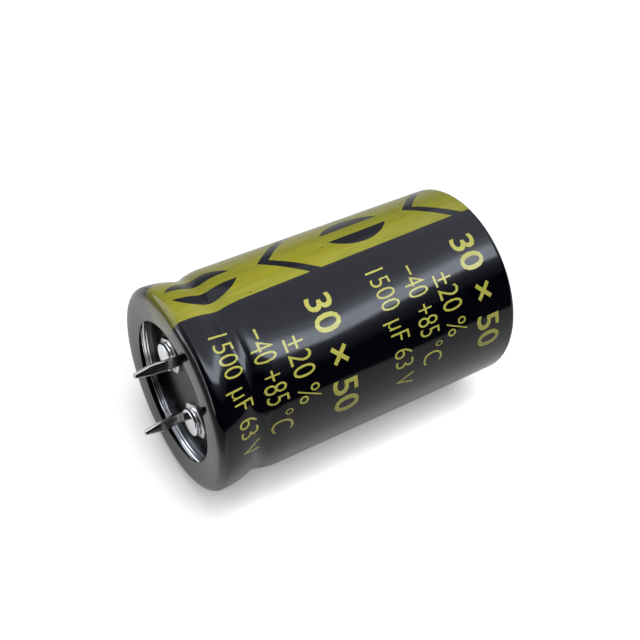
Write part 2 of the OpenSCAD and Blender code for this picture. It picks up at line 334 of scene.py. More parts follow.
film = finish_of("film_black", IOR=PLASTIC_IOR)
where = film_surface(film, FILM_GLOSS)
tone = spread(film, noise(film, where, 900, detail=4), 0, 1)
feed(film, "Base Color", blend_colour(film, tone, (0.0008, 0.0008, 0.0026), (0.0018, 0.0018, 0.0046)))


def ink(name, dark, light, hole):
    """Printed ink with faint streaks along the can. hole is the size of its pinholes."""
    material = finish_of(name, IOR=PLASTIC_IOR)
    where = film_surface(material, INK_GLOSS)
    streaks = noise(material, place(material, stretch=(1, 1, 0.12)), 1500, detail=3)
    tone = blend_colour(material, spread(material, streaks, 0, 1), dark, light)
    spots = add(material, "ShaderNodeTexVoronoi", Vector=where, Scale=330)
    pinhole = spread(material, spots.outputs["Distance"], 1, 0, start=hole, stop=hole + 0.02)
    feed(material, "Base Color", blend_colour(material, pinhole, tone, PINHOLE_TONE))
    return material


gold = ink("ink_gold", (0.285, 0.278, 0.006), (0.36, 0.345, 0.012), 0.03)
pale = ink("ink_lettering", (0.45, 0.44, 0.075), (0.55, 0.535, 0.11), 0.0)
print("film and inks:", film.name, gold.name, pale.name)

# %% [markdown]
# ## The film
# The section line is spun once round the axis and given the film's thickness inwards by a Solidify
# modifier. The free edges are what a shrink film shows first: they never end in a perfect circle, so
# their last row wanders by a few hundredths of a millimetre.

# %% Film
WANDER = 0.07
bm = film_line(10)
revolve(bm, 256)
for v in bm.verts:
    r = math.hypot(v.co.x, v.co.y) / MM
    angle = math.atan2(v.co.y, v.co.x)
    wander = 0.6 * math.sin(3 * angle + 1.0) + 0.4 * math.sin(7 * angle + 2.3)
    if min(abs(r - MOUTH_R), abs(r - BASE_MOUTH_R)) < EDGE_ROW / 10:
        v.co.x *= (r + WANDER * wander) / r
        v.co.y *= (r + WANDER * wander) / r
sleeve = piece("sleeve_film", bm, film, sharp=60, replaces=["sleeve"])
thicken(sleeve, "film_thickness", FILM_T)

# %% [markdown]
# ## Laying the print on the film
# Print is drawn flat, in millimetres: X runs round the body and Y along the film, and on the straight
# wall Y is the height. The flat shapes are cut into small faces by planes, and every vertex is then
# carried to its place on the film by the same section line that made it. A Solidify modifier gives the
# ink a body that starts inside the film, so no gap can show.

# %% The way along the film
INK_PROUD, INK_T = 0.009, 0.03
line = film_line(24)
line.verts.ensure_lookup_table()
path = [Vector((v.co.x, v.co.z)) / MM for v in line.verts]
line.free()
reach = [0.0]
for a, b in zip(path, path[1:]):
    reach.append(reach[-1] + (b - a).length)
wall_start = next(s for s, q in zip(reach, path) if abs(q.y - BASE_R) < 1e-3) - BASE_R
reach = [s - wall_start for s in reach]
FILM_START, FILM_END = reach[0], reach[-1]
# The straight wall needs no cuts across the print: these are the rows of the curved parts.
CURVED_ROWS = [s for s, q in zip(reach, path) if q.y < BASE_R + 0.01 or q.y > SHOULDER_Z - 0.01]


def on_film(s):
    """Radius, height and outward direction of the film at the distance s along it, in mm."""
    i = max(1, next((k for k, at in enumerate(reach) if at >= s), len(reach) - 1))
    a, b = path[i - 1], path[i]
    t = (s - reach[i - 1]) / (reach[i] - reach[i - 1])
    run = (b - a).normalized()
    before = (a - path[i - 2]).normalized() if i > 1 else run
    after = (path[i + 1] - b).normalized() if i + 1 < len(path) else run
    run = ((before + run) * (1 - t) + (run + after) * t).normalized()
    return a.lerp(b, t), Vector((run.y, -run.x))


print("film from", round(FILM_START, 2), "to", round(FILM_END, 2), "mm along its section")

# %% Print helpers
PRINT_STEP = 0.35        # width of the small faces round the body, in mm
PRINT_DRIFT = -0.0015    # the print runs slightly askew, by so many radians for each mm of height
PRINT_WELD = 1e-4        # flat print is in mm, so this is a tenth of a micrometre


def whole(bm):
    """All vertices, edges and faces of a mesh, as the cutting operators want them."""
    return bm.verts[:] + bm.edges[:] + bm.faces[:]


def lay_print(bm, middle):
    """Cuts flat print into small faces and carries it onto the film. middle is in degrees."""
    xs = [v.co.x for v in bm.verts]
    ys = [v.co.y for v in bm.verts]
    columns = range(math.ceil(min(xs) / PRINT_STEP), math.ceil(max(xs) / PRINT_STEP))
    cuts = [((k * PRINT_STEP, 0, 0), (1, 0, 0)) for k in columns]
    cuts += [((0, y, 0), (0, 1, 0)) for y in CURVED_ROWS if min(ys) < y < max(ys)]
    for co, no in cuts:
        bmesh.ops.bisect_plane(bm, geom=whole(bm), plane_co=co, plane_no=no, dist=PRINT_WELD / 10)
    bmesh.ops.remove_doubles(bm, verts=bm.verts[:], dist=PRINT_WELD)
    for v in bm.verts:
        on_line, out = on_film(v.co.y)
        angle = math.radians(middle) + v.co.x / BODY_R + PRINT_DRIFT * v.co.y
        r = on_line.x + INK_PROUD * out.x
        z = on_line.y + INK_PROUD * out.y
        v.co = Vector((r * math.cos(angle), r * math.sin(angle), z)) * MM


def flat_mesh(obj):
    """The flat filled mesh of a curve or text object, as a bmesh. The object is then removed."""
    bpy.context.scene.collection.objects.link(obj)
    graph = bpy.context.evaluated_depsgraph_get()
    mesh = bpy.data.meshes.new_from_object(obj.evaluated_get(graph))
    bm = bmesh.new()
    bm.from_mesh(mesh)
    bpy.data.objects.remove(obj)
    bmesh.ops.remove_doubles(bm, verts=bm.verts[:], dist=PRINT_WELD)
    for f in bm.faces:
        if f.normal.z < 0:
            f.normal_flip()
    return bm


print(len(CURVED_ROWS), "rows on the curved parts can cut the print")

# %% [markdown]
# ## Polarity stripe
# The stripe marks the negative terminal. It is a band of gold ink with arrows and minus marks left
# open, where the black film shows. The band is a flat curve with holes: even-odd filling leaves every
# shape drawn inside another one open. The arrows run right across it, so they split it into fields.

# %% Sizes of the stripe
STRIPE_MIDDLE = 5.0
STRIPE_NEAR, STRIPE_FAR = -5.26, 7.6
STRIPE_START, STRIPE_END = FILM_START + 0.3, FILM_END - 0.12
PITCH = 25.0
ARROW_Z, ARROW_W, ARROW_SLOPE = 9.3, 1.85, 1.04
MINUS_Z, MINUS_L, MINUS_W, MINUS_BAR = 18.25, 10.1, 7.2, 2.25
# The last field narrows to a tongue on the rim: its corners from the near side to the far one.
TONGUE = [(STRIPE_NEAR, 51.98), (-3.3, 53.2), (-2.8, STRIPE_END), (2.9, STRIPE_END), (3.4, 51.9),
          (3.65, 50.9), (4.5, 49.0), (5.6, 47.9), (STRIPE_FAR, 46.6)]
print("stripe from", round(STRIPE_START, 2), "to", round(STRIPE_END, 2), "mm along the film")


# %% Polarity stripe
def arrow_edge(apex, from_near):
    """One edge of an arrow's line, from the near side of the stripe to the far one or back."""
    near = (STRIPE_NEAR, apex + STRIPE_NEAR * ARROW_SLOPE)
    far = (STRIPE_FAR, apex - STRIPE_FAR * ARROW_SLOPE)
    return [near, (0, apex), far] if from_near else [far, (0, apex), near]


def minus_half(middle, side, steps=16):
    """A flat segment of a disc beside the bar of a minus mark."""
    rise = (MINUS_W - MINUS_BAR) / 2
    r = ((MINUS_L / 2) ** 2 + rise ** 2) / (2 * rise)
    half = math.asin(MINUS_L / 2 / r)
    turns = [half * k / steps for k in range(-steps, steps + 1)]
    return [(side * (MINUS_BAR / 2 + rise - r + r * math.cos(t)), middle + r * math.sin(t)) for t in turns]


def stripe_outlines():
    """Three fields of ink and the minus marks' openings."""
    first = [(STRIPE_FAR, STRIPE_START), (STRIPE_NEAR, STRIPE_START)] + arrow_edge(ARROW_Z - ARROW_W, True)
    second = arrow_edge(ARROW_Z, False) + arrow_edge(ARROW_Z + PITCH - ARROW_W, True)
    last = arrow_edge(ARROW_Z + PITCH, False) + TONGUE
    holes = [minus_half(MINUS_Z + k * PITCH, side) for k in (0, 1) for side in (-1, 1)]
    return [first, second, last] + holes


curve = bpy.data.curves.new("stripe", "CURVE")
curve.dimensions = "2D"
curve.fill_mode = "BOTH"
for outline in stripe_outlines():
    spline = curve.splines.new("POLY")
    spline.points.add(len(outline) - 1)
    for point, (x, y) in zip(spline.points, outline):
        point.co = (x, y, 0, 1)
    spline.use_cyclic_u = True
bm = flat_mesh(bpy.data.objects.new("stripe", curve))
lay_print(bm, STRIPE_MIDDLE)
stripe = piece("stripe_print", bm, gold, sharp=60, replaces=["polarity_stripe"])
thicken(stripe, "ink_thickness", INK_T)

# %% [markdown]
# ## Lettering
# The ratings are printed twice along the can, and read round it. Only plain sizes and values belong
# here: the case size in the bold top line, then the tolerance, the temperature range, and the
# capacitance with its voltage. A text object makes the letters, which become a mesh, are turned so
# that their tops face the closed end, and are laid on the film like the stripe.

# %% Lettering
# Each line: its name, its words, the height of its baseline, where it starts and how far it runs
# round the can in degrees, the size of its letters, and how much bolder they are drawn.
LINES = [
    ("size", "30 × 50", 7.25, -29.5, 68, 5.6, 0.07),
    ("tolerance", "±20 %", 12.65, -44.5, 36, 5.0, -0.03),
    ("range", "−40 +85 °C", 17.25, -33.5, 58, 4.9, -0.04),
    ("rating", "1500 µF 63 V", 22.0, -29.0, 70, 4.5, -0.04),
]


def lettering(name, words, baseline, start, sweep, size, bold):
    """One line of print, made as wide as its sweep round the can."""
    text = bpy.data.curves.new(name, "FONT")
    text.body = words
    text.size = size
    text.offset = bold
    text.resolution_u = 3
    bm = flat_mesh(bpy.data.objects.new(name, text))
    left = min(v.co.x for v in bm.verts)
    width = max(v.co.x for v in bm.verts) - left
    fit = math.radians(sweep) * BODY_R / width
    for v in bm.verts:
        v.co = Vector((-(v.co.x - left) * fit, baseline - v.co.y, 0))
    print(f"{name}: width scaled by {fit:.2f}")
    lay_print(bm, start)
    thicken(piece(name, bm, pale, sharp=60), "ink_thickness", INK_T)


for copy in (0, 1):
    for name, words, baseline, *shape in LINES:
        lettering(f"print_{name}_{copy + 1}", words, baseline + copy * PITCH, *shape)

# %% [markdown]
# ## Metals
# Five bare metals show or lie inside. Each one follows a single grain, which sets its gloss and a very
# shallow relief. The can is drawn and rolled, which leaves its grain in rings: the noise is looked up by
# the distance from the axis instead of by X and Y. The blades are stamped out of tinned strip, with the
# grain along them, and the rivets are pressed until they shine.

# %% Metals
def from_axis(material):
    """The distance from the can's axis, in metres."""
    flat = place(material, stretch=(1, 1, 0))
    return add(material, "ShaderNodeVectorMath", {"operation": "LENGTH"}, i0=flat).outputs["Value"]


def rings(material):
    """Coordinates that only change with the distance from the axis and along it."""
    where = add(material, "ShaderNodeSeparateXYZ", Vector=place(material))
    return add(material, "ShaderNodeCombineXYZ", X=from_axis(material), Z=where.outputs["Z"]).outputs[0]


def metal(name, dark, light, gloss, dull, grain, stretch, depth):
    """A bare metal whose gloss and fine relief follow one grain. Without a stretch it runs in rings."""
    material = finish_of(name, Metallic=1.0)
    where = place(material, stretch=stretch) if stretch else rings(material)
    lines = noise(material, where, grain, detail=4, roughness=0.6)
    cloud = noise(material, place(material), grain / 8)
    feed(material, "Base Color", blend_colour(material, spread(material, cloud, 0, 1), dark, light))
    feed(material, "Roughness", spread(material, lines, gloss, dull))
    relief(material, lines, depth)
    return material


aluminium = metal("aluminium_drawn", (0.70, 0.70, 0.705), (0.86, 0.86, 0.865), gloss=0.06, dull=0.17,
                  grain=2600, stretch=None, depth=16e-6)
bright = metal("rivet_bright", (0.84, 0.84, 0.85), (0.93, 0.93, 0.93), gloss=0.05, dull=0.13,
               grain=1800, stretch=(1, 1, 1), depth=2e-6)
tinned = metal("strip_tinned", (0.60, 0.565, 0.53), (0.80, 0.77, 0.735), gloss=0.18, dull=0.27,
               grain=2600, stretch=(1, 1, 0.12), depth=1e-6)
plated = metal("washer_plated", (0.50, 0.51, 0.53), (0.62, 0.62, 0.63), gloss=0.22, dull=0.38,
               grain=2400, stretch=(1, 1, 1), depth=3e-6)
soft_foil = metal("foil_soft", (0.70, 0.71, 0.72), (0.82, 0.82, 0.83), gloss=0.28, dull=0.46,
                  grain=1200, stretch=(1, 1, 0.5), depth=12e-6)
print("metals:", aluminium.name, bright.name, tinned.name, plated.name, soft_foil.name)

# %% [markdown]
# ## The can
# The can is one pressed shell, so it starts as one line: from the middle of its closed end, up the
# wall, through the shoulder, the neck and the rolled bead, and down the inside of the curl that holds
# the rubber. The film lies on it, so its arcs share their centres with the film's and run one film
# thickness further in. The roller that closes the curl leaves three fine marks round its inside, which
# catch the light as thin lines.
# Its closed end has three crossed scores, where it opens if pressure builds up inside. The disc is cut
# along the edges and the middle line of each score, and across it near its ends. Then the middle line
# is pressed in.

# %% Sizes of the curl and the scores
DECK_Z = box_mm("seal_rubber")[1].z
CURL_TIP_Z, CURL_SEAT_Z = DECK_Z - 0.35, DECK_Z - 0.1
CURL_INNER_R, CURL_FLARE = 3.0, 25.0
lean = math.radians(CURL_FLARE)
curl_top_radius = (RIM_Z - FILM_T - CURL_SEAT_Z - CURL_INNER_R * math.sin(lean)) / (1 - math.sin(lean))
CURL_TOP_R = CURL_R + CURL_INNER_R * (1 - math.cos(lean))
flare = curl_top_radius * math.cos(lean)
ROLL_MARKS, ROLL_MARK_H, ROLL_MARK_ROWS = 3, 0.035, 8
VENT_L, VENT_W, VENT_DEPTH = 15.0, 0.6, 0.25
print("top radius of the curl in mm:", round(curl_top_radius, 3))


# %% Can
def end_faces(bm):
    """The faces of the closed end's outer face, which lies one film thickness up."""
    return [f for f in bm.faces if max(v.co.z for v in f.verts) < (FILM_T + 0.001) * MM]


def end_geometry(bm):
    """The same faces with their edges and vertices, as the cutting operators want them."""
    faces = end_faces(bm)
    edges = {e for f in faces for e in f.edges}
    return list({v for f in faces for v in f.verts}) + list(edges) + faces


bm, v = start_line(0, FILM_T)
v = straight(bm, v, BODY_R - BASE_R, FILM_T)
v = arc(bm, v, BODY_R - BASE_R, BASE_R, 90, 8)
v = straight(bm, v, BODY_R - FILM_T, SHOULDER_Z)
v = arc(bm, v, BODY_R - SHOULDER_R, SHOULDER_Z, shoulder_turn, 8)
v = arc(bm, v, BODY_R - NECK_DEPTH + NECK_R, NECK_Z, -(shoulder_turn + flank_turn), 16)
v = arc(bm, v, BODY_R + BEAD_RISE - FLANK_R, BEAD_Z, flank_turn, 8)
v = arc(bm, v, RIM_CENTRE_R, BEAD_Z, 90, 12)
v = straight(bm, v, CURL_TOP_R + flare, RIM_Z - FILM_T)
v = arc(bm, v, CURL_TOP_R + flare, RIM_Z - FILM_T - curl_top_radius, 90 - CURL_FLARE, 12)
rows = ROLL_MARKS * ROLL_MARK_ROWS
for k in range(1, rows + 1):
    at = lean * (1 - k / rows)
    r = CURL_INNER_R + ROLL_MARK_H * (1 - math.cos(math.tau * k / ROLL_MARK_ROWS)) / 2
    v = straight(bm, v, CURL_R + CURL_INNER_R - r * math.cos(at), CURL_SEAT_Z + r * math.sin(at))
straight(bm, v, CURL_R, CURL_TIP_Z)
revolve(bm, 192)
print("can before its scores:", len(bm.verts), "vertices,", len(end_faces(bm)), "faces in its end")

# %% Scores of the vent
scores = []
for degrees in (0, 60, 120):
    along = Vector((math.cos(math.radians(degrees)), math.sin(math.radians(degrees)), 0))
    across = Vector((-along.y, along.x, 0))
    scores.append((along, across))
    cuts = [(across, offset) for offset in (-VENT_W / 2, 0, VENT_W / 2)]
    cuts += [(along, side * (VENT_L / 2 - inset)) for side in (-1, 1) for inset in (0, VENT_W / 2)]
    for normal, offset in cuts:
        bmesh.ops.bisect_plane(bm, geom=end_geometry(bm), plane_co=normal * offset * MM,
                               plane_no=normal, dist=WELD)
for v in {v for f in end_faces(bm) for v in f.verts}:
    depths = [1 - abs(v.co.dot(across)) / (VENT_W / 2 * MM) for along, across in scores
              if abs(v.co.dot(along)) < (VENT_L / 2 - 0.01) * MM]
    v.co.z += VENT_DEPTH * MM * max([0] + depths)
can = piece("can_shell", bm, aluminium, sharp=35, replaces=["can"])
thicken(can, "can_thickness", CAN_T)

# %% [markdown]
# ## Rivets
# A rivet joins each lug, through rubber and board, to a tab inside. Its section holds the flat head,
# the shank and the clenched end. The head's edge is rounded and has a faint step, left by the tool that
# pressed it, and that gives the thin dark ring inside the bright one.

# %% Sizes of the rivets
rivet_low, rivet_high = box_mm("rivet_negative")
RIVET_AT = (rivet_low + rivet_high) * Vector((0.5, 0.5, 0)) * MM
HEAD_R, HEAD_TOP_Z, HEAD_EDGE = (rivet_high.x - rivet_low.x) / 2, rivet_high.z, 0.16
HEAD_STEP, HEAD_STEP_H = 0.06, 0.34
LUG_Z, LUG_TOP_Z = DECK_Z, DECK_Z + 0.5
SHANK_R = 1.1
CLENCH_R, CLENCH_EDGE = 1.9, 0.25
CLENCH_Z, CLENCH_TOP_Z = rivet_low.z, box_mm("washer_negative")[0].z
print("negative rivet at", [round(c / MM, 3) for c in RIVET_AT[:2]], "mm, head radius", round(HEAD_R, 3))


# %% Rivets
def at_pole(bm, positive):
    """The positive terminal is the negative one, turned half a turn about the axis."""
    if positive:
        bm.transform(Matrix.Rotation(math.pi, 4, "Z"))


def rivet(name, node, positive):
    """One rivet, from its clenched end inside up to its flat head."""
    bm, v = start_line(0, CLENCH_Z)
    v = straight(bm, v, CLENCH_R - CLENCH_EDGE, CLENCH_Z)
    v = arc(bm, v, CLENCH_R - CLENCH_EDGE, CLENCH_Z + CLENCH_EDGE, 90, 4)
    upper_r, step_z = HEAD_R - HEAD_STEP, LUG_TOP_Z + HEAD_STEP_H
    for x, z in ((CLENCH_R, CLENCH_TOP_Z), (SHANK_R, CLENCH_TOP_Z), (SHANK_R, LUG_TOP_Z),
                 (HEAD_R, LUG_TOP_Z), (HEAD_R, step_z - HEAD_STEP), (upper_r, step_z),
                 (upper_r, HEAD_TOP_Z - HEAD_EDGE)):
        v = straight(bm, v, x, z)
    v = arc(bm, v, upper_r - HEAD_EDGE, HEAD_TOP_Z - HEAD_EDGE, 90, 5)
    straight(bm, v, 0, HEAD_TOP_Z)
    revolve(bm, 72)
    bm.transform(Matrix.Translation(RIVET_AT))
    at_pole(bm, positive)
    return piece(name, bm, bright, sharp=35, replaces=[node])


rivet("rivet_pressed_negative", "rivet_negative", False)
rivet("rivet_pressed_positive", "rivet_positive", True)

# %% [markdown]
# ## Terminals
# Each terminal is one stamped strip: a lug with clipped corners under the rivet, a bend, and a blade
# that leans in a little and narrows to its tip, so that it snaps into the board's hole. The lug is a
# disc cut by four planes. The blade is drawn as its side outline, filled, and pulled out to the strip's
# width. Its bend starts inside the lug and is a few micrometres thinner, so the two overlap without
# sharing a face. A small bevel breaks every stamped edge: without it the edges would catch no light.

# %% Sizes of the terminals
LUG_ANGLE = -70.0
LUG_D, LUG_HALF, LUG_BEVEL = 5.6, 2.5, 0.06
OVERLAP, THINNER = 0.2, 0.004
LUG_REACH, BLADE_T, KINK = 3.16, 0.8, 0.4
NEAR, FAR = LUG_REACH - BLADE_T / 2, LUG_REACH + BLADE_T / 2
TIP_Z = box_mm("terminal_negative")[1].z
KINK_Z, KINK_END_Z = RIM_Z + 0.3, RIM_Z + 1.7
BEND_R, FILLET_R, NIP = 0.5, 0.25, 0.2
BLADE_W, TIP_W, TAPER_Z, BLADE_BEVEL = 1.45, 0.65, TIP_Z - 2.7, 0.11
TIP_NIP = 0.6    # the last face is so much narrower again, which rounds the tip
print("blade tips at", round(TIP_Z, 3), "mm")


# %% Terminal helpers
def pull_out(bm, by):
    """Extrudes flat faces into a solid with outward faces."""
    pulled = bmesh.ops.extrude_face_region(bm, geom=bm.faces[:])["geom"]
    bmesh.ops.translate(bm, verts=[v for v in pulled if isinstance(v, bmesh.types.BMVert)], vec=by)
    bmesh.ops.recalc_face_normals(bm, faces=bm.faces[:])


def break_edges(bm, width, angle):
    """Rounds every edge that is sharper than the angle."""
    edges = {e for f in bm.faces for e in f.edges}
    sharp = [e for e in edges if len(e.link_faces) == 2 and e.calc_face_angle(0) > math.radians(angle)]
    bmesh.ops.bevel(bm, geom=sharp, offset=width * MM, offset_type="OFFSET", affect="EDGES",
                    segments=3, profile=0.5, material=-1, clamp_overlap=True)


# %% Lug and blade
def lug():
    """The plate under the rivet's head, centred on the rivet."""
    bm = bmesh.new()
    bmesh.ops.create_circle(bm, cap_ends=True, radius=LUG_D / 2 * MM, segments=96)
    for side in (Vector((1, 0, 0)), Vector((-1, 0, 0)), Vector((0, 1, 0)), Vector((0, -1, 0))):
        bmesh.ops.bisect_plane(bm, geom=whole(bm), plane_co=side * LUG_HALF * MM, plane_no=side,
                               dist=WELD, clear_outer=True)
    bmesh.ops.translate(bm, verts=bm.verts[:], vec=(0, 0, LUG_Z * MM))
    pull_out(bm, Vector((0, 0, LUG_TOP_Z - LUG_Z)) * MM)
    break_edges(bm, LUG_BEVEL, 60)
    return bm


def blade():
    """The bend and the blade, with the lug's direction along X and the rivet at the origin."""
    bottom, top = LUG_Z + THINNER, LUG_TOP_Z - THINNER
    bm, first = start_line(LUG_HALF - OVERLAP, bottom)
    v = straight(bm, first, FAR + KINK - BEND_R, bottom)
    v = arc(bm, v, FAR + KINK - BEND_R, bottom + BEND_R, 90, 6)
    for x, z in ((FAR + KINK, KINK_Z), (FAR, KINK_END_Z), (FAR, TAPER_Z), (FAR, TIP_Z - NIP),
                 (FAR - NIP, TIP_Z), (NEAR + NIP, TIP_Z), (NEAR, TIP_Z - NIP), (NEAR, TAPER_Z),
                 (NEAR, KINK_END_Z), (NEAR + KINK, KINK_Z), (NEAR + KINK, LUG_TOP_Z + FILLET_R)):
        v = straight(bm, v, x, z)
    v = arc(bm, v, NEAR + KINK - FILLET_R, LUG_TOP_Z + FILLET_R, -90, 4)
    v = straight(bm, v, LUG_HALF - OVERLAP, top)
    bm.edges.new((v, first))
    bmesh.ops.contextual_create(bm, geom=bm.edges[:])
    bmesh.ops.translate(bm, verts=bm.verts[:], vec=(0, -BLADE_W / 2 * MM, 0))
    pull_out(bm, Vector((0, BLADE_W * MM, 0)))
    for v in bm.verts:
        if v.co.z > (TAPER_Z + 0.1) * MM:
            v.co.y *= TIP_W / BLADE_W
        if v.co.z > (TIP_Z - NIP / 2) * MM:
            v.co.y *= TIP_NIP
    bmesh.ops.connect_verts_concave(bm, faces=bm.faces[:])
    break_edges(bm, BLADE_BEVEL, 25)
    return bm


# %% Terminals
def terminal(name, node, positive):
    """Lug and blade as one piece, turned to the lug's angle and moved to its rivet."""
    bm = bmesh.new()
    for part in (lug(), blade()):
        mesh = bpy.data.meshes.new("part")
        part.to_mesh(mesh)
        part.free()
        bm.from_mesh(mesh)
        bpy.data.meshes.remove(mesh)
    bm.transform(Matrix.Translation(RIVET_AT) @ Matrix.Rotation(math.radians(LUG_ANGLE), 4, "Z"))
    at_pole(bm, positive)
    return piece(name, bm, tinned, sharp=35, replaces=[node])


terminal("terminal_strip_negative", "terminal_negative", False)
terminal("terminal_strip_positive", "terminal_positive", True)

# %% [markdown]
# ## Rubber, board, paper and tape
# The other parts keep their CAD shapes and only need their finishes. The rubber deck is black with a
# faint grain. The board under it is brown resin paper. The winding shows the edges of its foils and
# papers as fine rings, so its tone follows the distance from the axis.

# %% Finishes of the inner parts
def matt(name, dark, light, gloss, dull, grain, stretch=(1, 1, 1), depth=8e-6, **sockets):
    """A finish that isn't metal: one grain for its tone, its gloss and its relief."""
    material = finish_of(name, IOR=PLASTIC_IOR, **sockets)
    fibres = noise(material, place(material, stretch=stretch), grain, detail=5, roughness=0.65)
    feed(material, "Base Color", blend_colour(material, spread(material, fibres, 0, 1), dark, light))
    feed(material, "Roughness", spread(material, fibres, gloss, dull))
    relief(material, fibres, depth)
    return material


rubber = matt("rubber_black", (0.003, 0.003, 0.004), (0.007, 0.007, 0.008), gloss=0.15, dull=0.26,
              grain=4200, depth=3e-6, Specular_IOR_Level=0.15)
board = matt("board_resin", (0.13, 0.055, 0.022), (0.22, 0.10, 0.045), gloss=0.30, dull=0.50,
             grain=1500, stretch=(1, 1, 0.1))
tape = matt("tape_amber", (0.44, 0.31, 0.10), (0.54, 0.39, 0.15), gloss=0.16, dull=0.30,
            grain=600, stretch=(1, 1, 0.3))
card = matt("card_fibre", (0.36, 0.28, 0.18), (0.50, 0.41, 0.28), gloss=0.70, dull=0.90,
            grain=2200, stretch=(1, 0.3, 1))
print("finishes:", rubber.name, board.name, tape.name, card.name)

# %% Winding
RING_WAVE = 21000.0    # radians for each metre from the axis, which makes a ring every 0.3 mm
winding = finish_of("winding_rings", IOR=1.45)
wobble = noise(winding, place(winding), 300)
turns = add(winding, "ShaderNodeMath", {"operation": "MULTIPLY_ADD"}, i0=from_axis(winding), i1=RING_WAVE,
            i2=wobble)
ring = add(winding, "ShaderNodeMath", {"operation": "SINE"}, i0=turns.outputs[0]).outputs[0]
band = spread(winding, ring, 0, 1, start=-0.6, stop=0.6)
feed(winding, "Base Color", blend_colour(winding, band, (0.40, 0.30, 0.17), (0.62, 0.61, 0.58)))
feed(winding, "Metallic", spread(winding, ring, 0, 0.9, start=0.2, stop=0.8))
feed(winding, "Roughness", spread(winding, wobble, 0.45, 0.65))
relief(winding, ring, 20e-6)
print(f"{winding.name}: a ring every {math.tau / RING_WAVE / MM:.2f} mm")

# %% The inner parts get their finishes
INNER = {
    "seal_rubber": rubber, "deck_plate": board, "washer_negative": plated, "washer_positive": plated,
    "cathode_tab": soft_foil, "anode_tab": soft_foil, "winding": winding, "winding_tape": tape,
    "base_disc": card,
}
for node, material in INNER.items():
    for held in nodes[node].material_slots:
        held.material = material
    print(f"{node}: {material.name}, {len(nodes[node].material_slots)} slot")

# %% [markdown]
# ## Node helpers for the stage
# The table and the room need sums and curves rather than patterns. These helpers wire such nodes into
# whichever node tree is open at the time, under the name tree.

# %% Node helpers for the stage
COOL = (0.82, 0.88, 1.0)    # daylight on the surroundings, a little blue


def grey(level):
    """A neutral colour. It may be brighter than white, as a lamp is."""
    return (level, level, level)


def wire_math(operation, a, b=0.0):
    """One step of a sum, on numbers or on other nodes' outputs."""
    made = tree.nodes.new("ShaderNodeMath")
    made.operation = operation
    for socket, value in zip(made.inputs, (a, b)):
        connect(tree, socket, value)
    return made.outputs[0]


def wire_along(axis):
    """How far the direction points along an axis, from -1 to 1."""
    made = tree.nodes.new("ShaderNodeVectorMath")
    made.operation = "DOT_PRODUCT"
    connect(tree, made.inputs[0], direction)
    connect(tree, made.inputs[1], axis)
    return made.outputs["Value"]


def wire_ramp(value, low, high, stops):
    """A smooth curve through (place, level) stops. A level is a colour, or a number for cool light."""
    made = tree.nodes.new("ShaderNodeValToRGB")
    made.color_ramp.interpolation = "EASE"
    tree.links.new(wire_math("DIVIDE", wire_math("SUBTRACT", value, low), high - low), made.inputs[0])
    elements = made.color_ramp.elements
    while len(elements) < len(stops):
        elements.new(1.0)
    for element, (at, level) in zip(elements, stops):
        element.position = (at - low) / (high - low)
        colour = level if isinstance(level, tuple) else [level * part for part in COOL]
        element.color = (*colour, 1)
    return made.outputs["Color"]


def wire_mix(kind, factor, a, b):
    """Mixes two colours. kind is MIX, ADD or MULTIPLY."""
    made = tree.nodes.new("ShaderNodeMix")
    made.data_type = "RGBA"
    made.blend_type = kind
    for socket, value in zip((made.inputs[0], made.inputs[6], made.inputs[7]), (factor, a, b)):
        connect(tree, socket, value)
    return made.outputs[2]


print("cool light is", COOL)

# %% [markdown]
# ## Table
# The can lies on a white table, which touches its side. The table is one large plane, seen only from
# its lit side, so that a view from behind it isn't blocked. Close to the can it darkens, as paper does
# where a round body keeps the light of the room from it. Its own glow makes up for the lamps' plain
# level: to the camera it is white, and the gloss mirrors it only as a dim sheet, brightest just beyond
# the rim. Light that it throws back on the can is held low, so the film's underside stays dark.

# %% Table
TABLE_TURN = -19.0
TABLE_SIZE = 1.5
TABLE_UP = Matrix.Rotation(math.radians(TABLE_TURN), 3, "Z") @ Vector((1, 0, 0))
bm = bmesh.new()
bmesh.ops.create_grid(bm, x_segments=1, y_segments=1, size=TABLE_SIZE)
bm.transform(TABLE_UP.to_track_quat("Z", "Y").to_matrix().to_4x4())
bmesh.ops.translate(bm, verts=bm.verts[:], vec=-(BODY_R + BEAD_RISE) * MM * TABLE_UP)
mesh = bpy.data.meshes.new("table")
bm.to_mesh(mesh)
bm.free()
table = bpy.data.objects.new("table", mesh)
bpy.context.scene.collection.objects.link(table)
table.visible_shadow = False
print("table:", TABLE_SIZE * 2, "m wide, under the bead")

# %% Paper of the table
SHADE_REACH = 6.5
OPENNESS, SHADE = (0.25, 0.90), (0.22, 0.8)
HELD_BACK = 0.6
paper = bpy.data.materials.new("table_paper")
paper.use_nodes = True
tree = paper.node_tree
tree.nodes.clear()
output = tree.nodes.new("ShaderNodeOutputMaterial")
light_path = tree.nodes.new("ShaderNodeLightPath")
geometry = tree.nodes.new("ShaderNodeNewGeometry")
diffuse = tree.nodes.new("ShaderNodeBsdfDiffuse")
near = tree.nodes.new("ShaderNodeAmbientOcclusion")
near.samples = 12
near.inputs["Distance"].default_value = SHADE_REACH * MM
shade = tree.nodes.new("ShaderNodeMapRange")
for socket, value in zip(("From Min", "From Max", "To Min", "To Max"), OPENNESS + SHADE):
    shade.inputs[socket].default_value = value
tree.links.new(near.outputs["AO"], shade.inputs["Value"])
held_back = wire_math("MULTIPLY", light_path.outputs["Is Diffuse Ray"], HELD_BACK)
bounce = wire_math("SUBTRACT", 1.0, held_back)
tree.links.new(wire_math("MULTIPLY", shade.outputs["Result"], bounce), diffuse.inputs["Color"])
print(f"{paper.name}: shade within {SHADE_REACH} mm of the can")

